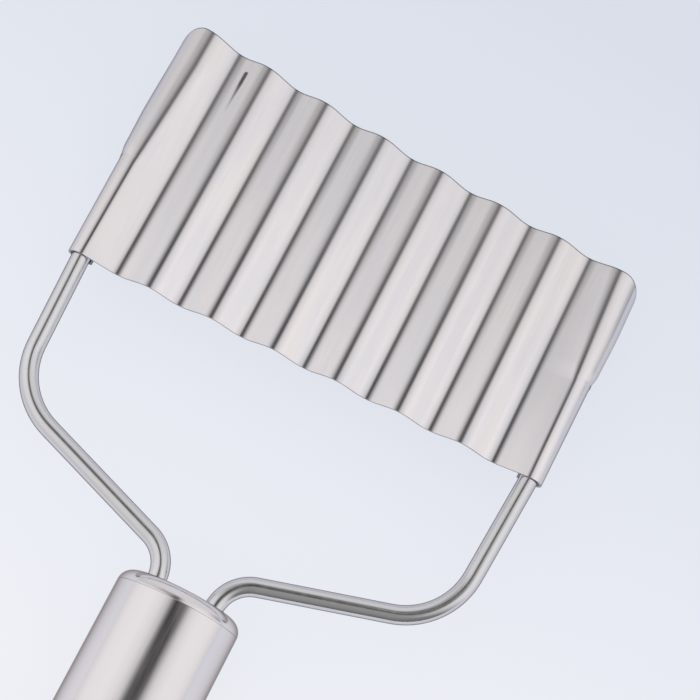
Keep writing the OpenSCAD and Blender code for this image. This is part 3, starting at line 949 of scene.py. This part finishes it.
def drawn_wire_steel(finish):
    """Drawn stainless wire: bright and smooth, with a faint unevenness that pickling leaves."""
    found = bpy.data.materials.get("drawn stainless wire")
    if found:
        return found
    material, tree, shader, coords = steel_material(
        "drawn stainless wire", finish.wire, finish.wire_edge)
    mottle = stretched_noise(tree, coords["Object"], across_mm=1.5, along_mm=1.5, detail=3)
    work_surface(tree, shader, mottle, (0.12, 0.2))
    return material


def satin_tube_steel(finish):
    """Satin-polished stainless tube: soft reflections in bands along the handle."""
    material, tree, shader, coords = steel_material(
        "satin stainless tube", finish.tube, finish.tube_edge)
    grain = stretched_noise(tree, coords["Object"], across_mm=0.4, along_mm=9, detail=3)
    work_surface(tree, shader, grain, (0.1, 0.16), bump=0.06, depth_mm=0.02)
    return material


def plain_inner_steel(finish):
    """Blanked mild steel disc: unpolished and dull, with the press's fine scuffs."""
    material, tree, shader, coords = steel_material("blanked steel disc", finish.inner)
    scuffs = stretched_noise(tree, coords["Object"], across_mm=0.8, along_mm=3, detail=3)
    work_surface(tree, shader, scuffs, (0.32, 0.5))
    return material


def weld_metal(finish):
    """Weld beads: dull grey with fine ripples."""
    material, tree, shader, coords = steel_material("weld metal", finish.weld)
    ripple = stretched_noise(tree, coords["Object"], across_mm=0.5, along_mm=0.5, detail=3)
    work_surface(tree, shader, ripple, bump=0.4, depth_mm=0.1)
    shader.inputs["Roughness"].default_value = 0.5
    return material


# Studio


# How much of the backdrop's brightness is its own, seen by the camera and in the metal. The rest is
# lit, and takes the cutter's shadow.
BACKDROP_GLOW = 0.85
# The direction in which the floor greys, where that starts and ends along it, and the floor's half
# width, in metres
FLOOR_AWAY = (0.06, 0.96, 0)
FLOOR_GREYS = (0.03, 0.19)
FLOOR_REACH = 3.0


def pale_floor_material(finish):
    """Matt backdrop paper, a little greyer beyond the blade than near the handle."""
    material = bpy.data.materials.new("pale backdrop paper")
    material.use_nodes = True
    tree = material.node_tree
    shader = tree.nodes["Principled BSDF"]
    shader.inputs["Roughness"].default_value = 0.9
    shader.inputs["Specular IOR Level"].default_value = 0.0
    place = add_node(tree, "ShaderNodeTexCoord").outputs["Object"]
    far = add_node(tree, "ShaderNodeVectorMath", [place, FLOOR_AWAY], operation="DOT_PRODUCT")
    ray = add_node(tree, "ShaderNodeLightPath").outputs
    v = {"far": far.outputs["Value"], "camera": ray["Is Camera Ray"], "glossy": ray["Is Glossy Ray"],
         "through": ray["Is Transmission Ray"]}
    work_out(tree, v, [
        ("farther", RAMP, "far", *FLOOR_GREYS, 0.0, 1.0),
        ("seen1", "MAXIMUM", "camera", "glossy"),
        ("seen", "MAXIMUM", "seen1", "through"),
        ("glow", "MULTIPLY", "seen", BACKDROP_GLOW),
    ])
    tone = add_node(tree, "ShaderNodeMix", {
        SHARE: v["farther"], COLOUR_0: (*finish.floor_near, 1), COLOUR_1: (*finish.floor_far, 1),
    }, data_type="RGBA").outputs[MIXED]
    tree.links.new(tone, shader.inputs["Base Color"])
    pale = add_node(tree, "ShaderNodeEmission", {"Color": tone, "Strength": 1.0})
    both = add_node(tree, "ShaderNodeMixShader", [v["glow"], shader.outputs[0], pale.outputs[0]])
    tree.links.new(both.outputs[0], tree.nodes["Material Output"].inputs["Surface"])
    return material


# How bright metal sees the room. Each row is an angle forward, towards +Y, and its stops: an angle
# round the Y axis, where right is positive, and the brightness there. All angles are in degrees.
# The rows at 6, 15 and 22 lie over the handle, the arms' legs and the blade: two softboxes with a gap
# between them, darkest over the handle. The rows at -60 and -30 lie behind the camera and are dark on
# the right, which shades the lower side of the right arm's cross run.
SOFTBOXES = (
    (-60, ((-100, 0.62), (-80, 0.7), (-45, 0.76), (-20, 0.62), (10, 0.38), (31, 0.26), (60, 0.18),
           (95, 0.14), (110, 0.2))),
    (-30, ((-100, 0.62), (-60, 0.85), (-28, 0.92), (-18, 0.8), (-5, 0.5), (10, 0.34), (22, 0.32),
           (60, 0.25), (95, 0.2), (110, 0.2))),
    (-8, ((-100, 0.6), (-75, 0.95), (-30, 0.96), (-17, 0.92), (-10, 0.74), (-4, 0.5), (2, 0.38),
          (12, 0.34), (22, 0.5), (32, 0.88), (60, 0.98), (90, 0.84), (100, 0.6))),
    (6, ((-100, 0.6), (-90, 0.84), (-75, 0.98), (-45, 1.02), (-34, 0.96), (-25, 0.9), (-14, 0.7),
         (-8, 0.24), (-3, 0.03), (10, 0.02), (16, 0.1), (20, 0.4), (27, 0.78), (37, 0.92), (50, 1.0),
         (75, 0.98), (90, 0.84), (100, 0.6))),
    (15, ((-100, 0.6), (-90, 0.8), (-75, 0.88), (-40, 0.93), (-31, 0.88), (-22, 0.58), (-13, 0.12),
          (-4, 0.02), (2, 0.36), (6, 0.76), (11, 0.88), (22, 0.96), (40, 1.06), (98, 0.8), (108, 0.6))),
    (22, ((-100, 0.6), (-90, 0.7), (-60, 0.74), (-47, 0.68), (-38, 0.53), (-20, 0.42), (-10, 0.22),
          (-3, 0.19), (4, 0.54), (11, 0.78), (25, 0.86), (45, 0.92), (60, 0.88), (72, 0.66),
          (84, 0.46), (94, 0.4))),
)
# Beyond the blade the gap closes between these two forward angles, into an even light
GAP_CLOSES = (28, 45)
EVEN_LIGHT = (0.8, 0.8, 0.81, 1)


def studio_world(level):
    """Even white light from all round on what is matt. Metal sees the softboxes instead."""
    world = bpy.data.worlds.new("soft studio")
    world.use_nodes = True
    tree = world.node_tree
    tree.nodes.clear()
    direction = add_node(tree, "ShaderNodeTexCoord").outputs["Generated"]
    d = add_node(tree, "ShaderNodeSeparateXYZ", [direction]).outputs
    v = {"x": d[0], "y": d[1], "z": d[2]}
    work_out(tree, v, [
        ("around", "ARCTAN2", "x", "z"),
        # Along a ramp that is one full turn long, with straight up at its middle
        ("turns", "MULTIPLY_ADD", "around", 0.5 / math.pi, 0.5),
        ("forward", "ARCSINE", "y"),
    ])
    light, reached = None, None
    for forward, stops in SOFTBOXES:
        ramp = add_node(tree, "ShaderNodeValToRGB", [v["turns"]])
        points = ramp.color_ramp.elements
        while len(points) < len(stops):
            points.new(0.5)
        for point, (degrees, value) in zip(points, stops):
            point.position = degrees / 360 + 0.5
            point.color = (value, value, value, 1)
        if light is None:
            light = ramp.outputs[0]
        else:
            work_out(tree, v, [
                ("share", RAMP, "forward", math.radians(reached), math.radians(forward), 0.0, 1.0),
            ])
            light = add_node(tree, "ShaderNodeMix", {
                SHARE: v["share"], COLOUR_0: light, COLOUR_1: ramp.outputs[0],
            }, data_type="RGBA").outputs[MIXED]
        reached = forward
    work_out(tree, v, [
        ("closing", SMOOTH_STEP, "forward", *[math.radians(d) for d in GAP_CLOSES], 0.0, 1.0),
    ])
    closed = add_node(tree, "ShaderNodeMix", {
        SHARE: v["closing"], COLOUR_0: light, COLOUR_1: EVEN_LIGHT,
    }, data_type="RGBA").outputs[MIXED]
    glossy = add_node(tree, "ShaderNodeLightPath").outputs["Is Glossy Ray"]
    seen = add_node(tree, "ShaderNodeMix", {
        SHARE: glossy, COLOUR_0: (1, 1, 1, 1), COLOUR_1: closed,
    }, data_type="RGBA").outputs[MIXED]
    background = add_node(tree, "ShaderNodeBackground", {"Color": seen, "Strength": level})
    add_node(tree, "ShaderNodeOutputWorld", {"Surface": background.outputs[0]})
    return world


class CUTTER_OT_studio(bpy.types.Operator):
    """Build the floor, the soft light and the camera"""

    bl_idname = "cutter.studio"
    bl_label = "Studio"

    def execute(self, context):
        scene = context.scene
        studio = scene.cutter_studio
        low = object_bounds()[0].z
        square = ((-1, -1), (1, -1), (1, 1), (-1, 1))
        corners = [(x * FLOOR_REACH, y * FLOOR_REACH, low) for x, y in square]
        mesh = bpy.data.meshes.new("studio_floor")
        mesh.from_pydata(corners, [], [(0, 1, 2, 3)])
        floor = new_object("studio_floor", mesh)
        mesh.materials.append(pale_floor_material(scene.cutter_finish))
        floor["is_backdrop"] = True

        scene.world = studio_world(studio.light)
        scene.view_settings.view_transform = "Standard"

        data = bpy.data.cameras.new("studio_camera")
        data.sensor_width = 36
        data.lens = studio.lens
        data.clip_start = 0.01
        camera = new_object("studio_camera", data)
        camera.location = studio.camera
        camera.rotation_euler = studio.turn
        scene.camera = camera
        return {"FINISHED"}


# Add-on

OPERATORS = (CUTTER_OT_blade, CUTTER_OT_arms, CUTTER_OT_handle, CUTTER_OT_loop, CUTTER_OT_inside,
             CUTTER_OT_studio)


class CUTTER_PT_sidebar(bpy.types.Panel):
    """The cutter's pieces and sizes in the sidebar of the 3D view"""

    bl_idname = "CUTTER_PT_sidebar"
    bl_label = "Soap Cutter"
    bl_space_type = "VIEW_3D"
    bl_region_type = "UI"
    bl_category = "Soap Cutter"

    def draw(self, context):
        for operator in OPERATORS:
            self.layout.operator(operator.bl_idname)
        for group, kind in GROUPS.items():
            box = self.layout.box()
            box.label(text=kind.__doc__)
            for name in kind.__annotations__:
                box.prop(getattr(context.scene, group), name)


def register():
    """Registers the classes and hangs the sizes on the scene."""
    for kind in (*GROUPS.values(), *OPERATORS, CUTTER_PT_sidebar):
        bpy.utils.register_class(kind)
    for group, kind in GROUPS.items():
        setattr(bpy.types.Scene, group, bpy.props.PointerProperty(type=kind))


def unregister():
    """Takes the classes and the sizes away again."""
    for group in GROUPS:
        delattr(bpy.types.Scene, group)
    for kind in reversed((*GROUPS.values(), *OPERATORS, CUTTER_PT_sidebar)):
        bpy.utils.unregister_class(kind)


def main():
    register()
    bpy.ops.cutter.blade()
    bpy.ops.cutter.arms()
    bpy.ops.cutter.handle()
    bpy.ops.cutter.loop()
    bpy.ops.cutter.inside()
    bpy.ops.cutter.studio()


if __name__ == "__main__":
    main()
